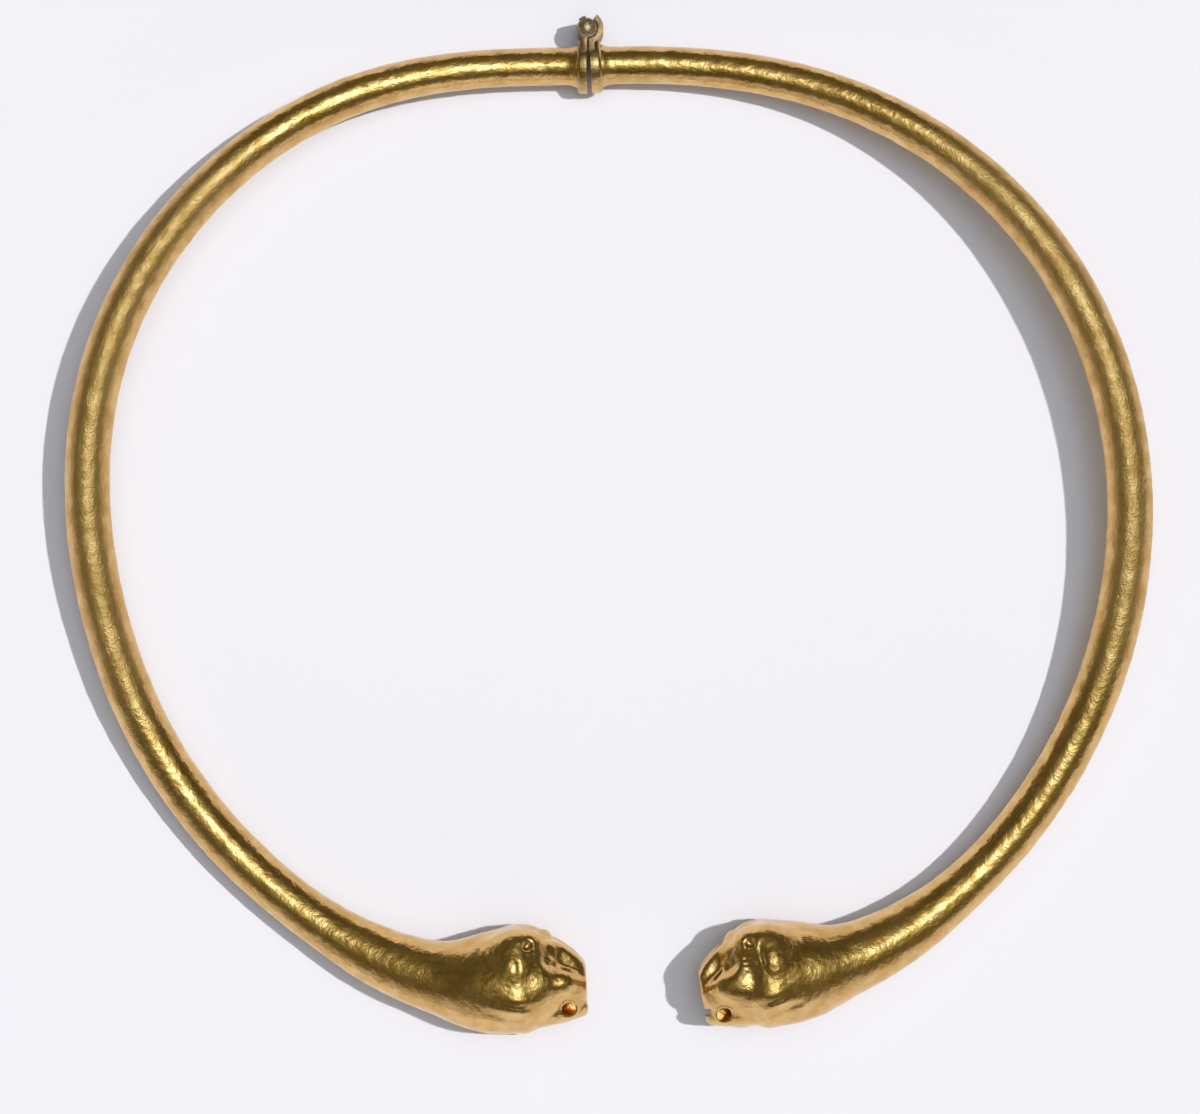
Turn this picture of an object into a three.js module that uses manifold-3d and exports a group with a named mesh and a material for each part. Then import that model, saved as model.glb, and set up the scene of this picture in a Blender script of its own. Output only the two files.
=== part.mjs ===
import * as THREE from 'three';
import { mergeVertices } from 'three/addons/utils/BufferGeometryUtils.js';
import Module from 'manifold-3d';

const wasm = await Module();
wasm.setup();

// Gold neck torc, lying flat as it is worn on a table: two hollow hammered arms that swell
// into lion heads face to face, and a small hinge at the back of the neck.
// Millimetres, +Z up from the table, +Y towards the hinge, +X towards the right arm.

// Arms, bent from the back of the hinge flange on, then straight up to the mane
const leftBentLength = 173.9;
const rightBentLength = 168.2;
const leftStraightLength = 0.4;
const rightStraightLength = 2.1;
const leftBendRadii = [367, 44.8, 52.1, 47.5, 72.6, 56.1, 70.2, 21.0];
const rightBendRadii = [134, 56.3, 51.2, 53.0, 59.0, 62.3, 56.2, 26.2];
const rightArmLean = 2.0;

// Height of each arm's centre over the table, at equal steps between the hinge and the head
const leftBow = [4.4, 6.2, 7.4, 7.0, 5.2, 3.7, 4.6];
const rightBow = [4.2, 6.8, 8.6, 8.4, 6.8, 5.0, 4.8];

// Tube: radius at the hinge, half way round, and where the neck of the lion starts
const tubeRadiusAtHinge = 2.25;
const tubeRadiusAtSide = 2.62;
const tubeRadiusAtNeck = 2.8;
const solderFillet = 0.3;

// Lion heads
const maneRadius = 6.4;
const neckLength = 34;
const flatDepth = 0.12;

// Hinge: two flange plates with leaves, three knuckles on a riveted pin
const flangeRadius = 3.24;
const leftFlangeThickness = 1.2;
const rightFlangeThickness = 1.4;
const flangeRounding = [0.45, 0.4];
const flangeEdge = 0.08;
const flangeFlatDepth = 0.06;
const pinToFlange = 4.35;
const seamToPin = 0;
const closedGap = 0.04;
const openAngle = 4.0;
const leafThickness = 0.7;
const leafHalfHeight = 2.75;
const eyeRadius = 1.2;
const pinRadius = 0.45;
const pinClearance = 0.06;
const knuckleClearance = 0.12;
const middleKnuckleHeight = 2.0;
const rivetRadius = 1.2;
const topRivetHeight = 0.5;
const bottomRivetHeight = 0.3;
const stopLugReach = 0.22;
const stopLugSpan = [98, 132];
const clawReach = 0.75;
const clawSwing = 48;
const clawSpan = [-80, stopLugSpan[0] - clawSwing];
const clawFacet = 9;

// Tag soldered under the left neck
const tagLength = 5.7;
const tagWidth = 2.6;
const tagThickness = 0.25;
const tagFromMane = 1.2;
const tagAngle = 200;
const solderGap = 0.05;

// Fineness of the facets
const tubeSides = 18;
const headSides = 2 * tubeSides;
const tubeStep = 4.6;
const headStep = 0.57;
const muzzleRings = 10;

const degrees = Math.PI / 180;
const flangeHeight = flangeRadius - flangeFlatDepth;
const headHeight = maneRadius - flatDepth;

// Solids: closed meshes go in and out of the boolean library

function solidOf(geometry) {
  const bare = geometry.clone();
  bare.deleteAttribute('normal');
  bare.deleteAttribute('uv');
  const merged = mergeVertices(bare, 1e-4);
  return new wasm.Manifold(new wasm.Mesh({
    numProp: 3,
    vertProperties: new Float32Array(merged.attributes.position.array),
    triVerts: new Uint32Array(merged.index.array),
  }));
}

function geometryOf(solid) {
  const mesh = solid.getMesh();
  const geometry = new THREE.BufferGeometry();
  geometry.setAttribute('position', new THREE.BufferAttribute(mesh.vertProperties, 3));
  geometry.setIndex(new THREE.BufferAttribute(mesh.triVerts, 1));
  geometry.computeVertexNormals();
  return geometry;
}

function block(x0, x1, y0, y1, z0, z1) {
  const geometry = new THREE.BoxGeometry(x1 - x0, y1 - y0, z1 - z0);
  geometry.translate((x0 + x1) / 2, (y0 + y1) / 2, (z0 + z1) / 2);
  return solidOf(geometry);
}

function upright(shape, z0, z1) {
  const options = { depth: z1 - z0, bevelEnabled: false, curveSegments: 12 };
  return solidOf(new THREE.ExtrudeGeometry(shape, options).translate(0, 0, z0));
}

function disc(radius) {
  return new THREE.Shape().absarc(0, 0, radius, 0, 2 * Math.PI);
}

// Smooth curve through values at equal steps

function alongEqualSteps(values, share) {
  const place = THREE.MathUtils.clamp(share, 0, 1) * (values.length - 1);
  const i = Math.min(Math.floor(place), values.length - 2);
  const t = place - i;
  const at = (k) => values[THREE.MathUtils.clamp(k, 0, values.length - 1)];
  const slopeIn = i === 0 ? 0 : (at(i + 1) - at(i - 1)) / 2;
  const slopeOut = i === values.length - 2 ? 0 : (at(i + 2) - at(i)) / 2;
  const t2 = t * t;
  const t3 = t2 * t;
  return (2 * t3 - 3 * t2 + 1) * at(i) + (t3 - 2 * t2 + t) * slopeIn
    + (3 * t2 - 2 * t3) * at(i + 1) + (t3 - t2) * slopeOut;
}

// Centre line of an arm: bends of given radius, blended, seen from above, then bowed up

class ArmLine {
  constructor(start, heading, turn, bentLength, straightLength, bendRadii, bow) {
    this.bentLength = bentLength;
    this.length = bentLength + straightLength;
    this.turn = turn;
    this.heights = [flangeHeight, ...bow, headHeight];
    this.places = [start.clone()];
    this.headings = [heading];
    this.steps = 600;
    const bends = bendRadii.map((radius) => turn / radius);
    const step = bentLength / this.steps;
    for (let i = 0; i < this.steps; i++) {
      const share = (i + 0.5) / this.steps * (bends.length - 1);
      const k = Math.floor(share);
      const bend = THREE.MathUtils.lerp(bends[k], bends[k + 1], share - k);
      const middle = this.headings[i] + bend * step / 2;
      const along = new THREE.Vector2(Math.cos(middle), Math.sin(middle));
      this.places.push(this.places[i].clone().addScaledVector(along, step));
      this.headings.push(this.headings[i] + bend * step);
    }
  }

  // Centre, forward, crown and side directions at a distance from the hinge
  frame(distance) {
    const bent = THREE.MathUtils.clamp(distance, 0, this.bentLength);
    const step = bent / this.bentLength * this.steps;
    const i = Math.min(Math.floor(step), this.steps - 1);
    const t = step - i;
    const place = this.places[i].clone().lerp(this.places[i + 1], t);
    const heading = THREE.MathUtils.lerp(this.headings[i], this.headings[i + 1], t);
    const forward = new THREE.Vector3(Math.cos(heading), Math.sin(heading), 0);
    const crown = new THREE.Vector3(-forward.y, forward.x, 0).multiplyScalar(this.turn);
    const height = alongEqualSteps(this.heights, distance / this.length);
    const centre = new THREE.Vector3(place.x, place.y, height);
    centre.addScaledVector(forward, distance - bent);
    return { centre, forward, crown, side: new THREE.Vector3().crossVectors(forward, crown) };
  }

  // Point at x forward of the mane, y towards the crown and z to the side
  point(x, y, z) {
    const { centre, crown, side } = this.frame(this.length + x);
    return centre.addScaledVector(crown, y).addScaledVector(side, z);
  }
}

// Lion head, carved on a grid of 64 steps to the mane's radius: x runs from the mane to the
// nose, y towards the crown and z to either side, which are alike

const gridStep = maneRadius / 64;

// Radius of tube and neck, x grid steps from the mane, given as shares of the neck's growth
const neckGrowth = [0, 0.01, 0.06, 0.17, 0.29, 0.45, 0.84, 1];

function neckRadius(x) {
  const share = 1 + x * gridStep / neckLength;
  const growth = alongEqualSteps(neckGrowth, share);
  return (tubeRadiusAtNeck + (maneRadius - tubeRadiusAtNeck) * growth) / gridStep;
}

function blend(a, b, width) {
  const overlap = Math.max(width - Math.abs(a - b), 0) / width;
  return Math.min(a, b) - overlap * overlap * width / 4;
}

function carve(a, b, width) {
  return -blend(-a, b, width);
}

// Signed distance to an egg at [x, y, z] with three radii, its long axis dipped by an angle
function egg(p, centre, radii, dip = 0) {
  const c = Math.cos(dip * degrees);
  const s = Math.sin(dip * degrees);
  const dx = p.x - centre[0];
  const dy = p.y - centre[1];
  const u = (c * dx - s * dy) / radii[0];
  const v = (s * dx + c * dy) / radii[1];
  const w = (p.z - centre[2]) / radii[2];
  const k = Math.hypot(u, v, w);
  const slope = Math.hypot(u / radii[0], v / radii[1], w / radii[2]);
  return slope < 1e-9 ? -Math.min(...radii) : k * (k - 1) / slope;
}

// The lock beside the ear: full and long on the left head, short and deeply creased on the right
const leftLock = { middle: 4, reach: 30, crease: 0.9 };
const rightLock = { middle: -6, reach: 22, crease: 2.5 };

function carvedHead(x, y, z, lock) {
  const p = { x, y, z: Math.abs(z) };

  // Neck and mane, flat at the side, with a full lock beside the ear, and the face in front
  let d = carve(Math.hypot(y, z) - neckRadius(Math.min(x, 0)), 6 - x, 24);
  d = blend(d, egg(p, [-2, 0, 0], [35, 65, 64]), 5);
  d = blend(d, egg(p, [0, 37, 30], [32, 25.5, 30], -8), 7);
  d = blend(d, egg(p, [lock.middle, 17, 32], [lock.reach, 26, 33], -12), 8);
  d = blend(d, egg(p, [24, -4, 0], [36, 53, 52]), 12);

  // Muzzle, flat bridge of the nose, puffed whisker pads, nostrils and cheeks
  d = blend(d, egg(p, [51, -16, 0], [33, 26, 38]), 10);
  d = blend(d, egg(p, [46, -38, 0], [31, 17, 27]), 7);
  d = blend(d, egg(p, [61, 17, 0], [37, 9.5, 15], 46), 4);
  d = blend(d, egg(p, [47, -10, 34], [15, 14, 9]), 3);
  d = blend(d, egg(p, [64, -20, 10], [16, 15, 20]), 6);
  d = blend(d, egg(p, [75, -6, 10], [7, 8, 9]), 3);
  d = blend(d, egg(p, [20, -8, 40], [20, 19, 16]), 9);

  // Lower jaw and chin
  d = blend(d, egg(p, [36, -48, 0], [41, 12.5, 25]), 9);
  d = blend(d, egg(p, [66, -46, 0], [11, 9.5, 14]), 5);

  // Forelock, brows, eyes in their hollows, ears
  d = blend(d, egg(p, [33, 42, 8], [14, 10, 13], 8), 4);
  d = blend(d, egg(p, [43, 31, 18], [11, 8, 17], 20), 4);
  d = carve(d, egg(p, [45, 19, 44], [12, 8, 14], 20), 4);
  d = blend(d, egg(p, [41, 20, 31], [6, 5.5, 7]), 2);
  d = blend(d, egg(p, [13, 44, 42], [8, 10, 8], -20), 4);

  // Crease in front of the lock, and grooves swept back under the jaw
  const beside = THREE.MathUtils.smoothstep(p.z, 15, 40);
  const crease = Math.exp(-(((x - 7 + y * 0.2) / 2.6) ** 2) - (((y - 20) / 16) ** 2));
  const sweep = Math.sin((y + 14 + x * 0.35) / 4.2);
  const underJaw = Math.exp(-(((x + 6) / 18) ** 2) - (((y + 36) / 17) ** 2));
  d += lock.crease * crease * beside + 1.2 * sweep * underJaw;

  // Flat front of the nose
  return carve(d, 81 - (x * 0.993 - y * 0.118), 3);
}

// Distance from a point inside the head to its skin
function skinDistance(origin, direction, lock) {
  const at = (t) => carvedHead(
    origin[0] + direction[0] * t,
    origin[1] + direction[1] * t,
    origin[2] + direction[2] * t,
    lock,
  );
  const stride = 1.5;
  let outside = 100;
  while (outside > stride && at(outside - stride) > 0) outside -= stride;
  let inside = outside - stride;
  for (let i = 0; i < 14; i++) {
    const middle = (inside + outside) / 2;
    if (at(middle) > 0) outside = middle;
    else inside = middle;
  }
  return inside;
}

// Rings of points are joined into a closed skin, finer where a ring has twice the sides

function closedSkin(rings, startPoint, endPoint) {
  const points = rings.flat();
  const firsts = [];
  rings.reduce((sum, ring) => (firsts.push(sum), sum + ring.length), 0);
  const faces = [];
  rings.slice(0, -1).forEach((ring, k) => {
    const next = rings[k + 1];
    const a = (i) => firsts[k] + i % ring.length;
    const b = (i) => firsts[k + 1] + i % next.length;
    ring.forEach((_, i) => {
      if (next.length === ring.length) {
        faces.push([a(i), b(i + 1), b(i)], [a(i), a(i + 1), b(i + 1)]);
      } else {
        faces.push([a(i), b(2 * i + 1), b(2 * i)], [a(i), a(i + 1), b(2 * i + 1)]);
        faces.push([a(i + 1), b(2 * i + 2), b(2 * i + 1)]);
      }
    });
  });
  const last = rings.length - 1;
  const start = points.push(startPoint) - 1;
  const end = points.push(endPoint) - 1;
  rings[0].forEach((_, i) => {
    faces.push([start, firsts[0] + (i + 1) % rings[0].length, firsts[0] + i]);
  });
  rings[last].forEach((_, i) => {
    faces.push([end, firsts[last] + i, firsts[last] + (i + 1) % rings[last].length]);
  });
  const geometry = new THREE.BufferGeometry();
  geometry.setAttribute('position', new THREE.Float32BufferAttribute(
    points.flatMap((point) => [point.x, point.y, point.z]), 3));
  geometry.setIndex(faces.flat());
  return geometry;
}

function ringOf(line, distance, radius, sides) {
  const { centre, crown, side } = line.frame(distance);
  return Array.from({ length: sides }, (_, i) => {
    const angle = 2 * Math.PI * i / sides;
    return centre.clone()
      .addScaledVector(crown, radius * Math.cos(angle))
      .addScaledVector(side, radius * Math.sin(angle));
  });
}

function tubeRadius(line, distance) {
  const share = distance / (line.length - neckLength);
  const grown = alongEqualSteps([tubeRadiusAtHinge, tubeRadiusAtSide, tubeRadiusAtNeck], share);
  return grown + solderFillet * Math.exp(-((distance / solderFillet / 2) ** 2));
}

function muzzleCentre(x) {
  const down = THREE.MathUtils.smoothstep(x, 0, 46);
  return [x, -16 * down, 0];
}

// One arm with its lion head, cut flush with the back of its flange and flat on the table
function armSolid(line, lock, flangeBack) {
  const rings = [];
  const tubeEnd = line.length - neckLength;
  const headStart = -46;
  const fanCentre = 44;
  for (const distance of [-0.6, 0, 0.35, 0.8]) {
    rings.push(ringOf(line, distance, tubeRadius(line, Math.max(distance, 0)), tubeSides));
  }
  const tubeRings = Math.ceil(tubeEnd / tubeStep);
  for (let i = 1; i <= tubeRings; i++) {
    const distance = i * tubeEnd / tubeRings;
    rings.push(ringOf(line, distance, tubeRadius(line, distance), tubeSides));
  }
  const neckRings = Math.ceil((neckLength + headStart * gridStep) / (tubeStep * 0.7));
  for (let i = 1; i <= neckRings; i++) {
    const x = THREE.MathUtils.lerp(-neckLength, headStart * gridStep, i / neckRings);
    const sides = i === neckRings ? headSides : tubeSides;
    rings.push(ringOf(line, line.length + x, neckRadius(x / gridStep) * gridStep, sides));
  }
  const directions = Array.from({ length: headSides }, (_, i) => {
    const angle = 2 * Math.PI * i / headSides;
    return [Math.cos(angle), Math.sin(angle)];
  });
  const skinPoint = (origin, direction) => {
    const t = skinDistance(origin, direction, lock);
    const [x, y, z] = origin.map((value, i) => (value + direction[i] * t) * gridStep);
    return line.point(x, y, z);
  };
  const headRings = Math.ceil((fanCentre - headStart) * gridStep / headStep);
  for (let i = 1; i <= headRings; i++) {
    const origin = muzzleCentre(THREE.MathUtils.lerp(headStart, fanCentre, i / headRings));
    rings.push(directions.map(([up, side]) => skinPoint(origin, [0, up, side])));
  }
  const muzzle = muzzleCentre(fanCentre);
  for (let i = 1; i < muzzleRings; i++) {
    const angle = i / muzzleRings * Math.PI / 2;
    const [forward, spread] = [Math.sin(angle), Math.cos(angle)];
    rings.push(directions.map(([up, side]) => (
      skinPoint(muzzle, [forward, spread * up, spread * side]))));
  }
  const skin = closedSkin(rings, line.frame(-0.6).centre, skinPoint(muzzle, [1, 0, 0]));
  let arm = solidOf(skin);
  for (const cut of mouthCuts(line)) arm = arm.subtract(cut);
  return arm.subtract(flangeBack).subtract(tableBlock());
}

function tableBlock() {
  return block(-200, 200, -200, 200, -20, 0);
}

// Open mouth: a round corner on each side, the slot between the lips and a gap at the front;
// the fangs and the tongue are what is left between the cuts
function mouthCuts(line) {
  const cornerRadius = 7.5;
  const corner = [53, -43.5];
  const sideGap = [54, 62];
  const frontGap = [71, 95];
  const lips = [-46, -38.5];
  const reach = 40;
  const tongue = 7;
  const hole = new THREE.Shape().absarc(corner[0], corner[1], cornerRadius, 0, 2 * Math.PI);
  const slot = (x0, x1) => new THREE.Shape([
    new THREE.Vector2(x0, lips[0]), new THREE.Vector2(x1, lips[0]),
    new THREE.Vector2(x1, lips[1]), new THREE.Vector2(x0, lips[1]),
  ]);
  const pieces = [];
  const cut = (shape, z0, z1) => {
    const options = { depth: z1 - z0, bevelEnabled: false, curveSegments: 7 };
    const geometry = new THREE.ExtrudeGeometry(shape, options).translate(0, 0, z0);
    const { centre, forward, crown, side } = line.frame(line.length);
    const place = new THREE.Matrix4().makeBasis(forward, crown, side).setPosition(centre);
    geometry.scale(gridStep, gridStep, gridStep).applyMatrix4(place);
    pieces.push(solidOf(geometry));
  };
  cut(hole, tongue, reach);
  cut(hole, -reach, -tongue);
  cut(slot(sideGap[0], sideGap[1]), tongue, reach);
  cut(slot(sideGap[0], sideGap[1]), -reach, -tongue);
  cut(slot(frontGap[0], frontGap[1]), -reach, reach);
  return pieces;
}

// Hinge, laid out with the pin's axis at x = y = 0 and both halves closed

const hingeMiddle = flangeHeight;

// Flange: a disc across the arm, rubbed round at the back, with a leaf that reaches the pin.
// The face that meets the other flange is at x = front, and the back is on the given side of it
function flangePlate(front, thickness, backwards) {
  const [round, deep] = flangeRounding;
  const profile = [
    new THREE.Vector2(0, 0),
    new THREE.Vector2(flangeRadius - flangeEdge, 0),
    new THREE.Vector2(flangeRadius, flangeEdge),
  ];
  for (let i = 0; i <= 3; i++) {
    const angle = i / 3 * Math.PI / 2;
    profile.push(new THREE.Vector2(
      flangeRadius - round * (1 - Math.cos(angle)),
      thickness - deep * (1 - Math.sin(angle)),
    ));
  }
  profile.push(new THREE.Vector2(0, thickness));
  const disc = new THREE.LatheGeometry(profile, 32);
  disc.rotateZ(-Math.PI / 2);
  let flange = solidOf(disc);
  if (backwards < 0) flange = flange.mirror([1, 0, 0]);
  flange = flange.translate([front, -pinToFlange, hingeMiddle]);
  const leafBack = front + backwards * leafThickness;
  const leaf = block(
    Math.min(front, leafBack), Math.max(front, leafBack),
    -pinToFlange + flangeRadius / 2, -eyeRadius * 0.7,
    hingeMiddle - leafHalfHeight, hingeMiddle + leafHalfHeight,
  );
  return flange.add(leaf);
}

// Round sector about the pin, angles counted from +X
function claw(span, radius) {
  const facets = Math.ceil((span[1] - span[0]) / clawFacet);
  const corners = [new THREE.Vector2(0, 0)];
  for (let i = 0; i <= facets; i++) {
    const angle = THREE.MathUtils.lerp(span[0], span[1], i / facets) * degrees;
    corners.push(new THREE.Vector2(Math.cos(angle), Math.sin(angle)).multiplyScalar(radius));
  }
  const shape = new THREE.Shape(corners);
  return upright(shape, hingeMiddle - leafHalfHeight, hingeMiddle + leafHalfHeight);
}

function hingePlate(flange, grip, ownEyes, foreignEyes) {
  let plate = flange.add(grip);
  for (const [z0, z1] of foreignEyes) {
    plate = plate.subtract(upright(disc(eyeRadius + knuckleClearance), z0, z1));
  }
  for (const [z0, z1] of ownEyes) plate = plate.add(upright(disc(eyeRadius), z0, z1));
  const bore = upright(disc(pinRadius + pinClearance), -1, 2 * hingeMiddle + 1);
  return plate.subtract(bore).subtract(tableBlock());
}

const bottomKnuckle = hingeMiddle - leafHalfHeight;
const topKnuckle = hingeMiddle + leafHalfHeight;
const middleLow = hingeMiddle - middleKnuckleHeight / 2;
const middleHigh = hingeMiddle + middleKnuckleHeight / 2;

function leftHingePlate() {
  return hingePlate(
    flangePlate(-seamToPin, leftFlangeThickness, -1),
    claw(stopLugSpan, eyeRadius + stopLugReach),
    [[bottomKnuckle, middleLow - knuckleClearance], [middleHigh + knuckleClearance, topKnuckle]],
    [[middleLow - knuckleClearance, middleHigh + knuckleClearance]],
  );
}

function rightHingePlate() {
  return hingePlate(
    flangePlate(closedGap - seamToPin, rightFlangeThickness, 1),
    claw(clawSpan, eyeRadius + clawReach),
    [[middleLow, middleHigh]],
    [[bottomKnuckle - 1, middleLow], [middleHigh, topKnuckle + 1]],
  );
}

// Pin with a low dome beaten over each end
function hingePin() {
  const low = bottomKnuckle - pinClearance;
  const high = topKnuckle + pinClearance;
  const profile = [new THREE.Vector2(0, low - bottomRivetHeight)];
  const dome = (height, base) => {
    const radius = (rivetRadius ** 2 + height ** 2) / (2 * height);
    const sweep = Math.asin(Math.min(rivetRadius / radius, 1));
    return [0.3, 0.55, 0.8, 1].map((share) => new THREE.Vector2(
      radius * Math.sin(sweep * share),
      base + height - radius * (1 - Math.cos(sweep * share)),
    ));
  };
  for (const point of dome(bottomRivetHeight, 0)) {
    profile.push(new THREE.Vector2(point.x, low - point.y));
  }
  profile.push(new THREE.Vector2(pinRadius, low));
  profile.push(new THREE.Vector2(pinRadius, high));
  profile.push(...dome(topRivetHeight, high).reverse());
  profile.push(new THREE.Vector2(0, high + topRivetHeight));
  return new THREE.LatheGeometry(profile, 16).rotateX(Math.PI / 2);
}

// The closed right half is swung open about the pin by its rest angle

const opened = new THREE.Matrix4().makeRotationZ(openAngle * degrees);
const leftBack = -seamToPin - leftFlangeThickness;
const rightBack = closedGap - seamToPin + rightFlangeThickness;
const leftLine = new ArmLine(
  new THREE.Vector2(leftBack, -pinToFlange), Math.PI, 1,
  leftBentLength, leftStraightLength, leftBendRadii, leftBow);
const rightStart = new THREE.Vector3(rightBack, -pinToFlange, 0).applyMatrix4(opened);
const rightLine = new ArmLine(
  new THREE.Vector2(rightStart.x, rightStart.y), (openAngle - rightArmLean) * degrees, -1,
  rightBentLength, rightStraightLength, rightBendRadii, rightBow);

function leftArm() {
  return armSolid(leftLine, leftLock, block(leftBack - solderGap, 20, -20, 20, -5, 20));
}

function rightArm() {
  const back = geometryOf(block(-20, rightBack + solderGap, -20, 20, -5, 20));
  return armSolid(rightLine, rightLock, solidOf(back.applyMatrix4(opened)));
}

// Tag: a thin plate bent round the outer, lower side of the neck
function tagPlate() {
  const columns = 4;
  const rows = 6;
  const grid = (lift) => {
    const points = [];
    for (let i = 0; i <= rows; i++) {
      const x = -tagFromMane - tagLength * (1 - i / rows);
      for (let j = 0; j <= columns; j++) {
        const spread = tagWidth * (j / columns - 0.5) / maneRadius;
        const angle = tagAngle * degrees + spread;
        const outwards = [0, Math.cos(angle), Math.sin(angle)];
        const radius = skinDistance([x / gridStep, 0, 0], outwards, leftLock) * gridStep + lift;
        points.push(leftLine.point(x, radius * Math.cos(angle), radius * Math.sin(angle)));
      }
    }
    return points;
  };
  const wide = columns + 1;
  const count = wide * (rows + 1);
  const points = [...grid(solderGap), ...grid(solderGap + tagThickness)];
  const faces = [];
  const quad = (a, b, c, d) => faces.push(a, c, b, a, d, c);
  for (let i = 0; i < rows; i++) {
    for (let j = 0; j < columns; j++) {
      const a = i * wide + j;
      quad(a, a + 1, a + 1 + wide, a + wide);
      quad(count + a, count + a + wide, count + a + wide + 1, count + a + 1);
    }
    const left = i * wide;
    const right = left + columns;
    quad(left, left + wide, left + wide + count, left + count);
    quad(right, right + count, right + wide + count, right + wide);
  }
  for (let j = 0; j < columns; j++) {
    const far = rows * wide + j;
    quad(j, j + count, j + 1 + count, j + 1);
    quad(far, far + 1, far + 1 + count, far + count);
  }
  const geometry = new THREE.BufferGeometry();
  geometry.setAttribute('position', new THREE.Float32BufferAttribute(
    points.flatMap((point) => [point.x, point.y, point.z]), 3));
  geometry.setIndex(faces);
  return geometry;
}

// Finishes: warm hammered gold, and the greyer gold of the filed hinge

const hammeredGold = new THREE.MeshStandardMaterial({
  color: 0xd9a441, roughness: 0.32, metalness: 1,
});
const hingeGold = new THREE.MeshStandardMaterial({
  color: 0xc49a4c, roughness: 0.38, metalness: 1,
});

function piece(name, geometry, material) {
  const mesh = new THREE.Mesh(geometry, material);
  mesh.name = name;
  return mesh;
}

const torc = new THREE.Group();
const rightPlate = piece('right_hinge_plate', geometryOf(rightHingePlate()), hingeGold);
rightPlate.rotation.z = openAngle * degrees;
torc.add(
  piece('left_arm', geometryOf(leftArm()), hammeredGold),
  piece('right_arm', geometryOf(rightArm()), hammeredGold),
  piece('left_hinge_plate', geometryOf(leftHingePlate()), hingeGold),
  rightPlate,
  piece('hinge_pin', hingePin(), hingeGold),
  piece('tag_plate', tagPlate(), hammeredGold),
);

// Origin: under the middle of the whole torc, on the table
const box = new THREE.Box3().setFromObject(torc, true);
const middle = box.getCenter(new THREE.Vector3());
torc.position.set(-middle.x, -middle.y, -box.min.z);

export default torc;
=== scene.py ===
import math

import bmesh
import bpy
import numpy as np
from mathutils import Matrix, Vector


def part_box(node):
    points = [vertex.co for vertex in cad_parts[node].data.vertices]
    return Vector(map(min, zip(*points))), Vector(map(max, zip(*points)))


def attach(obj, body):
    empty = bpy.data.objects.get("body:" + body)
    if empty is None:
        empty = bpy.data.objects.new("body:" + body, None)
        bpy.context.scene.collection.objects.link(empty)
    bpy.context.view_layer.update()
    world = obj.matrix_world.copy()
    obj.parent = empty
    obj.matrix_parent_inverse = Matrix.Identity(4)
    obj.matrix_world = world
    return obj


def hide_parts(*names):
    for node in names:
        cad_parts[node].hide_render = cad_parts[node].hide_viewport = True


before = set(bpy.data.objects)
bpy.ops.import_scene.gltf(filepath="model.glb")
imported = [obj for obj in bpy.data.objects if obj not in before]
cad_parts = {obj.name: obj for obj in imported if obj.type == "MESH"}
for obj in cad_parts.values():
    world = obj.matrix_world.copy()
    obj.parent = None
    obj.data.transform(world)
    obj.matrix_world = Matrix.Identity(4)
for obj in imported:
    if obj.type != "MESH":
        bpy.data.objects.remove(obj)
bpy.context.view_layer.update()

# Arms: two tubes of high-carat gold, raised and planished with a small hammer, that swell
# into lion heads. Each arm is one closed shell, carved straight on a grid of 64 steps to the
# mane's radius, then bent along its own line. Lengths in millimetres.
millimetre = 0.001
mane_radius = 6.4
grid_step = mane_radius / 64
neck_length = 34.0
tube_radii = [2.25, 2.62, 2.8]
solder_fillet = 0.3
neck_growth = [0, 0.01, 0.06, 0.17, 0.29, 0.45, 0.84, 1]
flange_height = 3.18
head_height = 6.28
seam_to_pin = 0.0
pin_to_flange = 4.35
flange_thickness = {"left": 1.2, "right": 1.4}
closed_gap = 0.04
open_angle = math.radians(4)
right_lean = math.radians(2)

pin_low, pin_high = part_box("hinge_pin")
pin_place = (pin_low + pin_high) / 2 / millimetre


def along_equal_steps(values, share):
    """Smooth curve through values at equal steps, flat at both ends."""
    values = np.asarray(values, float)
    place = np.clip(share, 0, 1) * (len(values) - 1)
    i = np.minimum(np.floor(place).astype(int), len(values) - 2)
    t = place - i
    slopes = np.zeros(len(values))
    slopes[1:-1] = (values[2:] - values[:-2]) / 2
    return ((2 * t**3 - 3 * t**2 + 1) * values[i] + (t**3 - 2 * t**2 + t) * slopes[i]
            + (3 * t**2 - 2 * t**3) * values[i + 1] + (t**3 - t**2) * slopes[i + 1])


def smoothstep(value, low, high):
    t = np.clip((value - low) / (high - low), 0, 1)
    return t * t * (3 - 2 * t)


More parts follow.
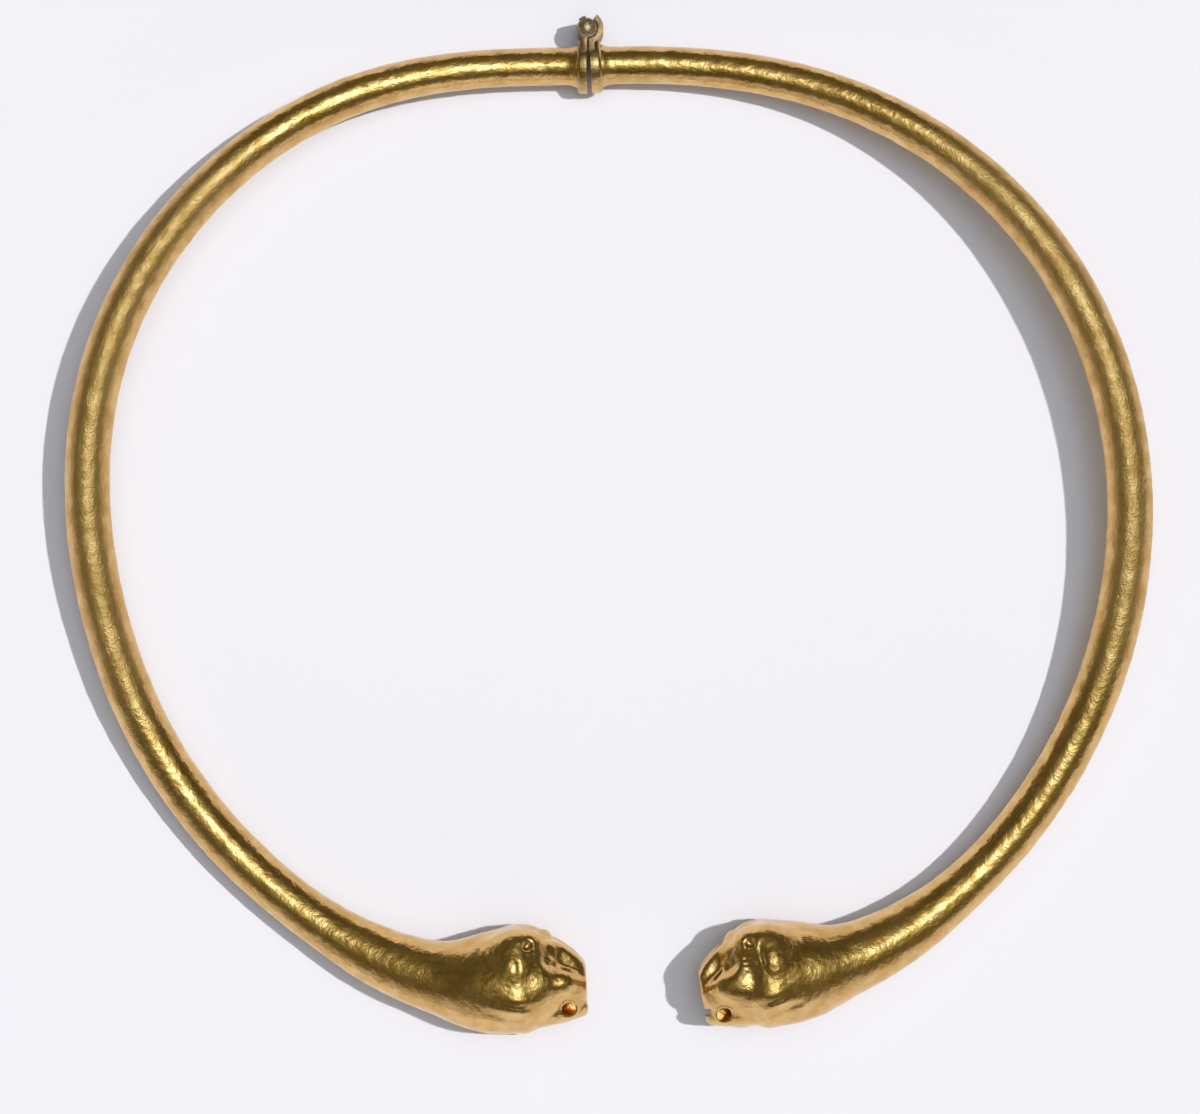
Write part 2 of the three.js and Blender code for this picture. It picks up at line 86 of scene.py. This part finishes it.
class ArmLine:
    """Centre line of an arm: bends of given radius, blended in plan, then bowed up."""

    def __init__(self, start, heading, turn, bent, straight, bend_radii, bow):
        steps = 600
        self.bent, self.length, self.turn = bent, bent + straight, turn
        self.heights = [flange_height, *bow, head_height]
        share = (np.arange(steps) + 0.5) / steps * (len(bend_radii) - 1)
        bends = np.interp(share, range(len(bend_radii)), turn / np.array(bend_radii))
        step = bent / steps
        headings = heading + np.concatenate([[0], np.cumsum(bends * step)])
        middles = headings[:-1] + bends * step / 2
        walked = np.cumsum(np.stack([np.cos(middles), np.sin(middles)], 1) * step, 0)
        self.places = np.concatenate([[start], start + walked])
        self.headings = headings
        self.distances = np.linspace(0, bent, steps + 1)

    def bend(self, points):
        """Places points (forward from the mane, to the crown, to the side) on the line."""
        distance = self.length + points[:, 0]
        bent = np.clip(distance, 0, self.bent)
        heading = np.interp(bent, self.distances, self.headings)
        x = np.interp(bent, self.distances, self.places[:, 0])
        y = np.interp(bent, self.distances, self.places[:, 1])
        forward = np.stack([np.cos(heading), np.sin(heading), 0 * heading], 1)
        crown = self.turn * np.stack([-forward[:, 1], forward[:, 0], 0 * heading], 1)
        centre = np.stack([x, y, along_equal_steps(self.heights, distance / self.length)], 1)
        centre += forward * (distance - bent)[:, None]
        side = np.cross(forward, crown)
        return centre + crown * points[:, 1:2] + side * points[:, 2:3]


left_back = -seam_to_pin - flange_thickness["left"]
right_back = closed_gap - seam_to_pin + flange_thickness["right"]
turned = np.array([[math.cos(open_angle), -math.sin(open_angle)],
                   [math.sin(open_angle), math.cos(open_angle)]])
plan_pin = np.array(pin_place[:2])
arm_lines = {
    "left": ArmLine(
        plan_pin + [left_back, -pin_to_flange], math.pi, 1, 173.9, 0.4,
        [367, 44.8, 52.1, 47.5, 72.6, 56.1, 70.2, 21.0],
        [4.4, 6.2, 7.4, 7.0, 5.2, 3.7, 4.6]),
    "right": ArmLine(
        plan_pin + turned @ [right_back, -pin_to_flange], open_angle - right_lean, -1,
        168.2, 2.1, [134, 56.3, 51.2, 53.0, 59.0, 62.3, 56.2, 26.2],
        [4.2, 6.8, 8.6, 8.4, 6.8, 5.0, 4.8]),
}


def blend(a, b, width):
    overlap = np.maximum(width - np.abs(a - b), 0) / width
    return np.minimum(a, b) - overlap**2 * width / 4


def carve(a, b, width):
    return -blend(-a, b, width)


def egg(p, centre, radii, dip=0.0, sway=0.0):
    """Signed distance to an egg with three radii, its long axis dipped and swayed."""
    c, s = math.cos(math.radians(dip)), math.sin(math.radians(dip))
    dx, dy, dz = (p[i] - centre[i] for i in range(3))
    if sway:
        cs, ss = math.cos(math.radians(sway)), math.sin(math.radians(sway))
        dx, dz = cs * dx + ss * dz, cs * dz - ss * dx
    u = (c * dx - s * dy) / radii[0]
    v = (s * dx + c * dy) / radii[1]
    w = dz / radii[2]
    k = np.sqrt(u * u + v * v + w * w)
    slope = np.sqrt((u / radii[0])**2 + (v / radii[1])**2 + (w / radii[2])**2)
    return k * (k - 1) / np.maximum(slope, 1e-9)


def neck_radius(x):
    growth = along_equal_steps(neck_growth, 1 + x * grid_step / neck_length)
    return (tube_radii[-1] + (mane_radius - tube_radii[-1]) * growth) / grid_step


def neck_flatness(x, lobe):
    """Share of the neck's radius that is left towards the side, just behind the mane."""
    return 1 - 0.06 * lobe * np.exp(-((x + 50) / 26)**2)


def lion_head(x, y, z, lobe):
    """Signed distance to the carved head in grid steps, alike on both sides.

    The lobe is 0 for the left lion and 1 for the right one, which differ a little.
    """
    p = (x, y, np.abs(z))
    d = carve(np.hypot(y, z / neck_flatness(x, lobe)) - neck_radius(np.minimum(x, 0)), 6 - x, 24)
    tilt = 26 * lobe - 14
    for centre, radii, dip, sway, width in (
        ((0, 0, 0), (33, 65, 63), 0, 0, 5),                # mane
        ((-2, 36, 30), (42, 26, 28), -8, 0, 9),            # upper mane, flat at the side
        ((-3 - 5 * lobe, 19, 34), (31 - 6 * lobe, 27, 31), -10, 0, 8),     # full lock by the ear
        ((-4, -19, 31), (30, 24, 31), 10, 0, 8),           # lower mane
        ((22 + 6 * lobe, -2, 0), (38 - 4 * lobe, 53, 56), 0, 0, 12),       # face
        ((51, -16, 0), (33, 26, 41), 0, 0, 10),            # muzzle
        ((46, -38, 0), (31, 17, 27), 0, 0, 7),             # lips
        ((61, 17, 0), (37, 9.5, 16), 46, 0, 6),            # bridge of the nose
        ((59, 17, 20), (30, 12, 8), 46, tilt, 8),          # side of the bridge
        ((48, -9, 33), (20, 14, 16), 4, 0, 10),            # whisker pad
        ((66, -20, 10), (15, 16, 22), 0, 0, 10),           # front of the pad
        ((74, -5, 14), (7, 8, 9), 0, 0, 5),                # wing of the nostril
        ((18 + 18 * lobe, -7, 41), (21, 18, 14), 0, 0, 9),         # cheek
        ((36, -48, 0), (41, 12.5, 25), 0, 0, 9),           # lower jaw
        ((66, -46, 0), (11, 9.5, 14), 0, 0, 5),            # chin
        ((34, 43, 8), (14, 11, 13), 8, 0, 4),              # forelock
        ((43, 31, 18), (11, 8, 17), 20, 0, 8),             # brow
    ):
        d = blend(d, egg(p, centre, radii, dip, sway), width)

    # Eye in its socket, and ear with its hollow
    d = carve(d, egg(p, (47, 16, 54), (13, 8, 14), 40), 8)
    d = blend(d, egg(p, (38, 20, 37), (6.5, 5, 6), 25), 3)
    d = blend(d, egg(p, (14, 45, 38), (12, 6, 9), -35), 5)
    d = carve(d, egg(p, (19, 42, 51), (6, 4, 4), -35), 6)

    # Chased lines: tufts round the eye, rim of the mouth's corner, crease before the lock and
    # sweeping hairs under the jaw
    about_eye = np.arctan2(y - 16, 42 - x)
    off_eye = np.hypot(y - 16, 42 - x)
    tufts = np.sin(17 * about_eye) * np.exp(
        -((off_eye - 23) / 8)**2 - ((about_eye - 0.35) / 0.6)**2)
    d = d + (0.4 + 0.5 * lobe) * tufts * smoothstep(p[2], 15, 35)
    lip_rim = np.exp(-((np.hypot(x - 53, y + 43.5) - 10) / 2.2)**2)
    d = d - 0.9 * lip_rim * smoothstep(p[2], 8, 16)
    crease = np.exp(-((x - 5 + (4 - 0.2 * y) * lobe + 0.006 * (y - 22)**2) / 3.2)**2
                    - ((y - 24) / 14)**2)
    sweep = np.sin((y + 14 + 0.35 * x) / 2.8)
    under_jaw = np.exp(-((x + 12) / 26)**2 - ((y + 34) / 13)**2)
    d = d + (0.9 + 0.9 * lobe) * crease * smoothstep(p[2], 15, 40) + sweep * under_jaw
    return carve(d, 81 - (0.993 * x - 0.118 * y), 3)


def skin_distance(origin, direction, lobe):
    """Distance from points inside the head to its skin, found from outside in."""
    def field(rows, t):
        at = origin[rows] + direction[rows] * t[:, None]
        return lion_head(at[:, 0], at[:, 1], at[:, 2], lobe)

    reach = 84.0
    stride = 2.0
    halvings = 11
    outside = np.full(len(origin), reach)
    waiting = np.arange(len(origin))
    while len(waiting):
        inner = outside[waiting] - stride
        free = (field(waiting, inner) > 0) & (inner > stride)
        waiting = waiting[free]
        outside[waiting] -= stride
    inside = outside - stride
    every = np.arange(len(origin))
    for _ in range(halvings):
        middle = (inside + outside) / 2
        free = field(every, middle) > 0
        outside = np.where(free, middle, outside)
        inside = np.where(free, inside, middle)
    return inside


scattered = 4096


def nearest_blow(points, size, seed):
    """Distance to the nearest of scattered hammer blows, in shares of their spacing."""
    scatter = np.random.default_rng(seed).random((scattered, 3))
    scaled = points / size
    cell = np.floor(scaled).astype(np.int64)
    nearest = np.full(len(points), 9.0)
    for i in (-1, 0, 1):
        for j in (-1, 0, 1):
            for k in (-1, 0, 1):
                at = cell + [i, j, k]
                key = at[:, 0] * 73856093 ^ at[:, 1] * 19349663 ^ at[:, 2] * 83492791
                off_blow = at + scatter[key & (scattered - 1)] - scaled
                nearest = np.minimum(nearest, np.linalg.norm(off_blow, axis=1))
    return nearest


def tube_radius(line, distance):
    radius = along_equal_steps(tube_radii, distance / (line.length - neck_length))
    return radius + solder_fillet * np.exp(-(distance / solder_fillet / 2)**2)


def forge_arm(side, seed, lobe):
    line = arm_lines[side]
    tube_sides = 96
    tube_rings = 470
    cheek_rings = 23
    muzzle_rings = 15
    refine = 2
    hidden_end = 0.3
    head_start = -46.0
    fan_centre = 44.0
    rings = tube_rings + cheek_rings + muzzle_rings

    # A cylinder of equal rings, with finer faces over the head
    bm = bmesh.new()
    bmesh.ops.create_cone(bm, cap_ends=True, segments=tube_sides, radius1=1, radius2=1, depth=1)
    along = [e for e in bm.edges if abs(e.verts[0].co.z - e.verts[1].co.z) > 0.5]
    bmesh.ops.subdivide_edges(bm, edges=along, cuts=rings - 1)
    head_from = tube_rings / rings - 0.5
    on_head = [e for e in bm.edges if min(v.co.z for v in e.verts) > head_from - 1e-5]
    bmesh.ops.subdivide_edges(bm, edges=on_head, cuts=refine, use_grid_fill=True)
    cap = [v for v in bm.verts if v.co.z > 0.5 - 1e-6]
    bmesh.ops.pointmerge(bm, verts=cap, merge_co=(1, 0, 0.5))
    bm.verts.ensure_lookup_table()
    cage = np.array([v.co for v in bm.verts])
    angle = np.arctan2(cage[:, 1], cage[:, 0])
    ring = (cage[:, 2] + 0.5) * rings
    up, out = np.cos(angle), np.sin(angle)

    # Tube and neck, the tube's end hidden inside the flange
    tube_end = line.length + head_start * grid_step
    distance = np.minimum(-hidden_end + ring / tube_rings * (tube_end + hidden_end), tube_end)
    x = distance - line.length
    radius = np.where(x < -neck_length, tube_radius(line, np.maximum(distance, 0)),
                      neck_radius(x / grid_step) * grid_step)
    straight = np.stack([x, radius * up, radius * neck_flatness(x / grid_step, lobe) * out], 1)

    # Head: rays from the axis, then a fan of rays towards the nose
    head = np.flatnonzero(ring > tube_rings + 1e-4)
    on_cheek = np.minimum((ring[head] - tube_rings) / cheek_rings, 1)
    origin_x = head_start + (fan_centre - head_start) * on_cheek
    origin = np.stack([origin_x, -16 * smoothstep(origin_x, 0, 46), 0 * origin_x], 1)
    fan = np.clip((ring[head] - tube_rings - cheek_rings) / muzzle_rings, 0, 1) * math.pi / 2
    direction = np.stack([np.sin(fan), np.cos(fan) * up[head], np.cos(fan) * out[head]], 1)
    skin = skin_distance(origin, direction, lobe)
    straight[head] = (origin + direction * skin[:, None]) * grid_step

    # Hammer blows: broad ones that make the outline uneven, small and fine ones over them.
    # They stop short of the solder at the hinge and are weaker on the face.
    outwards = np.stack([0 * x, up, out], 1)
    outwards[head] = direction
    face = smoothstep(straight[:, 0], -1.5, 1.0)
    worn = smoothstep(distance, 0.0, 3.0)
    pace = distance / line.length
    roughened = np.clip(smoothstep(pace, 0.12, 0.3) * (1 - smoothstep(pace, 0.6, 0.8)), 0.5, 1)
    blows = ((2.6, 0.055 * (1 - 0.45 * face)), (1.15, 0.05), (0.6, 0.03))
    height = sum(depth * (nearest_blow(straight, spacing, seed + k)**2 - 0.3)
                 for k, (spacing, depth) in enumerate(blows))
    straight += outwards * (worn * height)[:, None]

    placed = line.bend(straight)
    placed[:, 2] = np.maximum(placed[:, 2], 0)
    for vertex, place in zip(bm.verts, placed * millimetre):
        vertex.co = place
    mesh = bpy.data.meshes.new(side + "_arm_skin")
    bm.to_mesh(mesh)
    bm.free()
    hammering = mesh.attributes.new("hammering", "FLOAT", "POINT")
    hammering.data.foreach_set("value", roughened.astype(np.float32))
    for polygon in mesh.polygons:
        polygon.use_smooth = True
    arm = bpy.data.objects.new(side + "_arm_gold", mesh)
    bpy.context.scene.collection.objects.link(arm)
    return arm


def mouth_cutters(line, lobe):
    """Drilled corner and sawn slot on each side, and the gap at the front of the lips."""
    cutters = []

    def cutter(outline, levels):
        """A prism with the outline scaled about its middle at each (height, scale)."""
        bm = bmesh.new()
        outline = np.array(outline)
        middle = outline.mean(0)
        rings = [[bm.verts.new((*place, z)) for place in middle + (outline - middle) * wide]
                 for z, wide in levels]
        bm.faces.new(rings[0])
        bm.faces.new(rings[-1])
        for low, high in zip(rings, rings[1:]):
            for i in range(len(low)):
                bm.faces.new((low[i - 1], low[i], high[i], high[i - 1]))
        bmesh.ops.recalc_face_normals(bm, faces=bm.faces)
        points = np.array([vertex.co for vertex in bm.verts]) * grid_step
        for vertex, place in zip(bm.verts, line.bend(points) * millimetre):
            vertex.co = place
        bmesh.ops.recalc_face_normals(bm, faces=bm.faces)
        mesh = bpy.data.meshes.new("mouth_cutter")
        bm.to_mesh(mesh)
        bm.free()
        cutters.append(bpy.data.objects.new("mouth_cutter", mesh))
        bpy.context.scene.collection.objects.link(cutters[-1])

    def round_hole(x, y, radius):
        turns = [2 * math.pi * i / 28 for i in range(28)]
        return [(x + radius * math.cos(a), y + radius * math.sin(a)) for a in turns]

    def slot(x0, x1, y0, y1, corner):
        points = []
        for cx, cy, start in ((x1, y1, 0), (x0, y1, 90), (x0, y0, 180), (x1, y0, 270)):
            inner_x = cx - math.copysign(corner, cx - (x0 + x1) / 2)
            inner_y = cy - math.copysign(corner, cy - (y0 + y1) / 2)
            for i in range(5):
                angle = math.radians(start + i * 90 / 4)
                points.append((inner_x + corner * math.cos(angle),
                               inner_y + corner * math.sin(angle)))
        return points

    for sign in (1, -1):
        cutter(round_hole(53, -43.5, 7.5), [(sign * z, wide) for z, wide in (
            (2, 0.1), (8, 0.4), (15, 0.7), (22, 0.94), (28, 1.05), (36, 1.12))])
        cutter(slot(54, 62, -46 - 3 * lobe, -38.5, 2.5), [(sign * 7, 1), (sign * 40, 1)])
    cutter(slot(75 - 6 * lobe, 95, -43.5 - 2.5 * lobe, -40.5 + 4.5 * lobe, 1.4),
           [(-40, 1), (40, 1)])
    return cutters


def open_mouth(arm, line, lobe):
    for cutter in mouth_cutters(line, lobe):
        cut = arm.modifiers.new("mouth", "BOOLEAN")
        cut.object = cutter
        cut.operation = "DIFFERENCE"
        cut.solver = "MANIFOLD"
        bpy.context.view_layer.update()
        carved = bpy.data.meshes.new_from_object(arm.evaluated_get(
            bpy.context.evaluated_depsgraph_get()))
        arm.modifiers.clear()
        arm.data = carved
        bpy.data.objects.remove(cutter)
    arm.data.set_sharp_from_angle(angle=math.radians(50))


# The skin of old gold, as a group that the materials share: soft mottling, fine grain and
# pits. It gives a colour, a roughness and a height to each material.
gold_skin = bpy.data.node_groups.new("old_gold_skin", "ShaderNodeTree")
for name, kind, value in (
    ("Bright", "NodeSocketColor", (0.87, 0.62, 0.22, 1)),
    ("Deep", "NodeSocketColor", (0.72, 0.44, 0.13, 1)),
    ("Grain", "NodeSocketFloat", 0.5),
    ("Smooth", "NodeSocketFloat", 0.2),
    ("Matt", "NodeSocketFloat", 0.4),
):
    gold_skin.interface.new_socket(name, in_out="INPUT", socket_type=kind).default_value = value
for name, kind in (("Color", "NodeSocketColor"), ("Roughness", "NodeSocketFloat"),
                   ("Height", "NodeSocketFloat")):
    gold_skin.interface.new_socket(name, in_out="OUTPUT", socket_type=kind)


def add_node(tree, kind, inputs=(), **settings):
    node = tree.nodes.new(kind)
    for name, value in settings.items():
        setattr(node, name, value)
    for key, value in dict(inputs).items():
        if isinstance(value, bpy.types.NodeSocket):
            tree.links.new(value, node.inputs[key])
        else:
            node.inputs[key].default_value = value
    return node


def scaled_map(tree, value, low, high, to_low, to_high):
    return add_node(tree, "ShaderNodeMapRange", {
        "Value": value, "From Min": low, "From Max": high, "To Min": to_low,
        "To Max": to_high}).outputs["Result"]


skin_in = add_node(gold_skin, "NodeGroupInput")
skin_out = add_node(gold_skin, "NodeGroupOutput")
where = add_node(gold_skin, "ShaderNodeTexCoord").outputs["Object"]
mottle = add_node(gold_skin, "ShaderNodeTexNoise",
                  {"Vector": where, "Scale": 420, "Detail": 3, "Roughness": 0.6}).outputs["Fac"]
grain = add_node(gold_skin, "ShaderNodeTexNoise",
                 {"Vector": where, "Scale": 4500, "Detail": 2, "Roughness": 0.6}).outputs["Fac"]
ripple = add_node(gold_skin, "ShaderNodeTexNoise",
                  {"Vector": where, "Scale": 1500, "Detail": 2, "Roughness": 0.5}).outputs["Fac"]
pits = add_node(gold_skin, "ShaderNodeTexVoronoi",
                {"Vector": where, "Scale": 1300, "Randomness": 1}).outputs["Distance"]
patches = scaled_map(gold_skin, mottle, 0.35, 0.65, 0, 1)
tone = add_node(gold_skin, "ShaderNodeMix", {
    "Factor": patches, "A": skin_in.outputs["Deep"], "B": skin_in.outputs["Bright"],
}, data_type="RGBA")
gold_skin.links.new(tone.outputs["Result"], skin_out.inputs["Color"])
rough = add_node(gold_skin, "ShaderNodeMix", {
    "Factor": patches, "A": skin_in.outputs["Matt"], "B": skin_in.outputs["Smooth"],
}, data_type="FLOAT")
gold_skin.links.new(rough.outputs["Result"], skin_out.inputs["Roughness"])
pitted = scaled_map(gold_skin, pits, 0.0, 0.16, -0.6, 0)
grained = add_node(gold_skin, "ShaderNodeMath",
                   {0: grain, 1: skin_in.outputs["Grain"], 2: pitted},
                   operation="MULTIPLY_ADD").outputs[0]
height = add_node(gold_skin, "ShaderNodeMath", {0: ripple, 1: 2.0, 2: grained},
                  operation="MULTIPLY_ADD").outputs[0]
gold_skin.links.new(height, skin_out.inputs["Height"])


def gold_material(name, bright, deep, grain, smooth, matt, depth, hammered=False):
    material = bpy.data.materials.new(name)
    material.use_nodes = True
    tree = material.node_tree
    shader = tree.nodes["Principled BSDF"]
    shader.inputs["Metallic"].default_value = 1
    skin = add_node(tree, "ShaderNodeGroup", node_tree=gold_skin)
    for key, value in (("Bright", (*bright, 1)), ("Deep", (*deep, 1)), ("Grain", grain),
                       ("Smooth", smooth), ("Matt", matt)):
        skin.inputs[key].default_value = value
    if hammered:
        blows = add_node(tree, "ShaderNodeAttribute", attribute_name="hammering")
        blows = blows.outputs["Fac"]
        for key, low, high in (("Grain", 0.5 * grain, 1.5 * grain),
                               ("Smooth", smooth, smooth + 0.2), ("Matt", matt, matt + 0.2)):
            tree.links.new(scaled_map(tree, blows, 0.5, 1, low, high), skin.inputs[key])
    bump = add_node(tree, "ShaderNodeBump", {
        "Strength": 1, "Distance": depth * millimetre, "Height": skin.outputs["Height"]})
    tree.links.new(skin.outputs["Color"], shader.inputs["Base Color"])
    tree.links.new(skin.outputs["Roughness"], shader.inputs["Roughness"])
    tree.links.new(bump.outputs["Normal"], shader.inputs["Normal"])
    return material


hammered_gold = gold_material("hammered_gold", (0.77, 0.5, 0.2), (0.62, 0.37, 0.12), grain=1.3,
                              smooth=0.12, matt=0.2, depth=0.03, hammered=True)
for side, seed, lobe in (("left", 3, 0.0), ("right", 8, 1.0)):
    arm = forge_arm(side, seed, lobe)
    open_mouth(arm, arm_lines[side], lobe)
    arm.data.materials.clear()
    arm.data.materials.append(hammered_gold)
    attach(arm, side + "_half")
    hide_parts(side + "_arm")

# Hinge: two flange plates with claws and knuckles, sawn and filed from thick sheet, greyer
# than the arms. Their edges are rubbed round, and the claws are coloured darker brown and
# matt about the pin.
dark_core_radius = 2.3
dark_fade_radius = 3.5
hinge_bright, hinge_deep = (0.68, 0.47, 0.2), (0.42, 0.28, 0.12)
near_pin_bright, near_pin_deep = (0.4, 0.26, 0.13), (0.21, 0.13, 0.06)
hinge_smooth, hinge_matt = 0.15, 0.27
near_pin_smooth, near_pin_matt = 0.3, 0.46
hinge_gold = gold_material("hinge_gold", hinge_bright, hinge_deep, grain=1.2,
                           smooth=hinge_smooth, matt=hinge_matt, depth=0.024)
hinge_tree = hinge_gold.node_tree
hinge_skin = next(node for node in hinge_tree.nodes if node.type == "GROUP")
in_plan = add_node(hinge_tree, "ShaderNodeVectorMath", {
    0: add_node(hinge_tree, "ShaderNodeTexCoord").outputs["Object"], 1: (1, 1, 0)},
    operation="MULTIPLY").outputs[0]
off_pin = add_node(hinge_tree, "ShaderNodeVectorMath", {
    0: in_plan, 1: (pin_place[0] * millimetre, pin_place[1] * millimetre, 0)},
    operation="DISTANCE").outputs["Value"]
# Share of the darker brown, matt colour: full within 2.3 mm of the pin in plan, none beyond 3.5
# mm
near_pin_share = scaled_map(hinge_tree, off_pin, dark_core_radius * millimetre,
                     dark_fade_radius * millimetre, 1, 0)
for key, far_off, by_pin in (("Bright", hinge_bright, near_pin_bright),
                          ("Deep", hinge_deep, near_pin_deep)):
    shade = add_node(hinge_tree, "ShaderNodeMix", {
        "Factor": near_pin_share, "A": (*far_off, 1), "B": (*by_pin, 1)}, data_type="RGBA")
    hinge_tree.links.new(shade.outputs["Result"], hinge_skin.inputs[key])
for key, far_off, by_pin in (("Smooth", hinge_smooth, near_pin_smooth),
                          ("Matt", hinge_matt, near_pin_matt)):
    hinge_tree.links.new(scaled_map(hinge_tree, near_pin_share, 0, 1, far_off, by_pin),
                         hinge_skin.inputs[key])


def filed_copy(node, name, edge):
    """A copy of a plain solid with its doubles merged and its edges rubbed round."""
    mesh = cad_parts[node].data.copy()
    mesh.materials.clear()
    bm = bmesh.new()
    bm.from_mesh(mesh)
    bmesh.ops.remove_doubles(bm, verts=bm.verts, dist=0.002 * millimetre)
    bmesh.ops.dissolve_limit(bm, angle_limit=math.radians(1), verts=bm.verts, edges=bm.edges)
    bm.to_mesh(mesh)
    bm.free()
    piece = bpy.data.objects.new(name, mesh)
    bpy.context.scene.collection.objects.link(piece)
    rounding = piece.modifiers.new("rubbed_edges", "BEVEL")
    rounding.width = edge * millimetre
    rounding.segments = 3
    rounding.limit_method = "ANGLE"
    rounding.angle_limit = math.radians(35)
    for polygon in mesh.polygons:
        polygon.use_smooth = True
    return piece


for side in ("left", "right"):
    plate = filed_copy(side + "_hinge_plate", side + "_plate_filed", 0.1)
    plate.data.materials.append(hinge_gold)
    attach(plate, side + "_half")
    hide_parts(side + "_hinge_plate")

# Hinge pin: a gold wire through the three knuckles, beaten into a low dome at each end
pin_gold = gold_material("pin_gold", (0.62, 0.48, 0.32), (0.34, 0.26, 0.17), grain=2.2,
                         smooth=0.2, matt=0.36, depth=0.03)
pin = filed_copy("hinge_pin", "rivet_pin", 0.04)
pin.data.materials.append(pin_gold)
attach(pin, "left_half")
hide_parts("hinge_pin")

# Tag: a thin bare plate, bent round the lower side of the left neck and soldered there
tag = filed_copy("tag_plate", "bare_tag", 0.06)
tag.data.materials.append(hammered_gold)
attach(tag, "left_half")
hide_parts("tag_plate")

# Floor: a pale plain sheet
floor_mesh = bpy.data.meshes.new("floor")
bm = bmesh.new()
bmesh.ops.create_grid(bm, x_segments=1, y_segments=1, size=3)
bm.to_mesh(floor_mesh)
bm.free()
floor = bpy.data.objects.new("floor", floor_mesh)
bpy.context.scene.collection.objects.link(floor)
pale = bpy.data.materials.new("pale_sheet")
pale.use_nodes = True
for key, value in (("Base Color", (0.76, 0.75, 0.85, 1)), ("Roughness", 0.9),
                   ("Specular IOR Level", 0)):
    pale.node_tree.nodes["Principled BSDF"].inputs[key].default_value = value
floor_mesh.materials.append(pale)

# Light: a high key light from the right and a soft pale fill from above, which the gold
# doesn't mirror, and a room that it does
key_light = bpy.data.lights.new("key_light", "SUN")
key_light.energy = 2.48
key_light.angle = math.radians(1.5)
key_light.color = (1.0, 0.97, 0.88)
sun = bpy.data.objects.new("key_light", key_light)
azimuth, elevation = math.radians(12), math.radians(64)
towards = Vector((math.cos(elevation) * math.cos(azimuth),
                  math.cos(elevation) * math.sin(azimuth), math.sin(elevation)))
sun.rotation_euler = towards.to_track_quat("Z", "Y").to_euler()
sun.visible_glossy = False
bpy.context.scene.collection.objects.link(sun)
fill_light = bpy.data.lights.new("fill_light", "AREA")
fill_light.shape = "DISK"
fill_light.size = 1.6
fill_light.energy = 2.3
fill_light.color = (0.6, 0.7, 1.0)
fill = bpy.data.objects.new("fill_light", fill_light)
fill.location = (0, 0, 1.2)
fill.visible_glossy = False
fill.visible_camera = False
bpy.context.scene.collection.objects.link(fill)

room = bpy.data.worlds.new("studio_room")
bpy.context.scene.world = room
room.use_nodes = True
room_tree = room.node_tree
room_at = add_node(room_tree, "ShaderNodeTexCoord").outputs["Generated"]


def room_colours(fac, steps):
    node = add_node(room_tree, "ShaderNodeValToRGB", {"Fac": fac})
    for k, (position, color) in enumerate(steps):
        stops = node.color_ramp.elements
        stop = stops[k] if k < 2 else stops.new(position)
        stop.position = position
        stop.color = (*color, 1)
    return node.outputs["Color"]


# The room is bright low down, and higher up in front than at the back
room_height = add_node(room_tree, "ShaderNodeVectorMath", {0: room_at, 1: (0, 0.35, 1)},
                       operation="DOT_PRODUCT").outputs["Value"]
walls = room_colours(room_height, (
    (0.0, (0.66, 0.66, 0.69)), (0.09, (0.48, 0.48, 0.48)), (0.23, (0.18, 0.17, 0.13)),
    (0.44, (0.13, 0.12, 0.075)), (1.0, (0.11, 0.105, 0.065))))
drift = add_node(room_tree, "ShaderNodeTexNoise",
                 {"Vector": room_at, "Scale": 3.0, "Detail": 2, "Roughness": 0.5}).outputs["Fac"]
uneven = add_node(room_tree, "ShaderNodeVectorMath", {
    0: walls, "Scale": scaled_map(room_tree, drift, 0.3, 0.7, 0.55, 1.5)},
    operation="SCALE").outputs[0]

# A soft glow high overhead, which the gold shows as cream highlights along its crest
azimuth, elevation = math.radians(40), math.radians(80)
overhead = (math.cos(elevation) * math.cos(azimuth), math.cos(elevation) * math.sin(azimuth),
            math.sin(elevation))
cosine = add_node(room_tree, "ShaderNodeVectorMath", {0: room_at, 1: overhead},
                  operation="DOT_PRODUCT").outputs["Value"]
off_overhead = add_node(room_tree, "ShaderNodeMath", {0: cosine},
                        operation="ARCCOSINE").outputs[0]
glow_reach = math.radians(50)
glow = room_colours(scaled_map(room_tree, off_overhead, 0, glow_reach, 0, 1), (
    (0.0, (0.85, 1.0, 1.3)), (0.15, (0.74, 0.86, 0.98)), (0.32, (0.27, 0.3, 0.26)),
    (0.54, (0.07, 0.072, 0.045)), (0.9, (0, 0, 0))))
glow_strength = 3.5
glow = add_node(room_tree, "ShaderNodeVectorMath", {0: glow, "Scale": glow_strength},
                operation="SCALE").outputs[0]
lit = add_node(room_tree, "ShaderNodeVectorMath", {0: uneven, 1: glow},
               operation="ADD").outputs[0]
room_tree.links.new(lit, room_tree.nodes["Background"].inputs["Color"])

# Camera: straight above the torc, framing 145.2 mm of the floor
camera_height = 0.496
framed_width = 0.1452
eye = bpy.data.cameras.new("camera")
eye.sensor_fit = "HORIZONTAL"
eye.sensor_width = 36
eye.lens = eye.sensor_width * camera_height / framed_width
eye.clip_start = 0.01
camera = bpy.data.objects.new("camera", eye)
camera.location = (-0.000998, -0.003835, camera_height)
bpy.context.scene.collection.objects.link(camera)
bpy.context.scene.camera = camera
bpy.context.scene.view_settings.view_transform = "Standard"

bpy.context.view_layer.update()
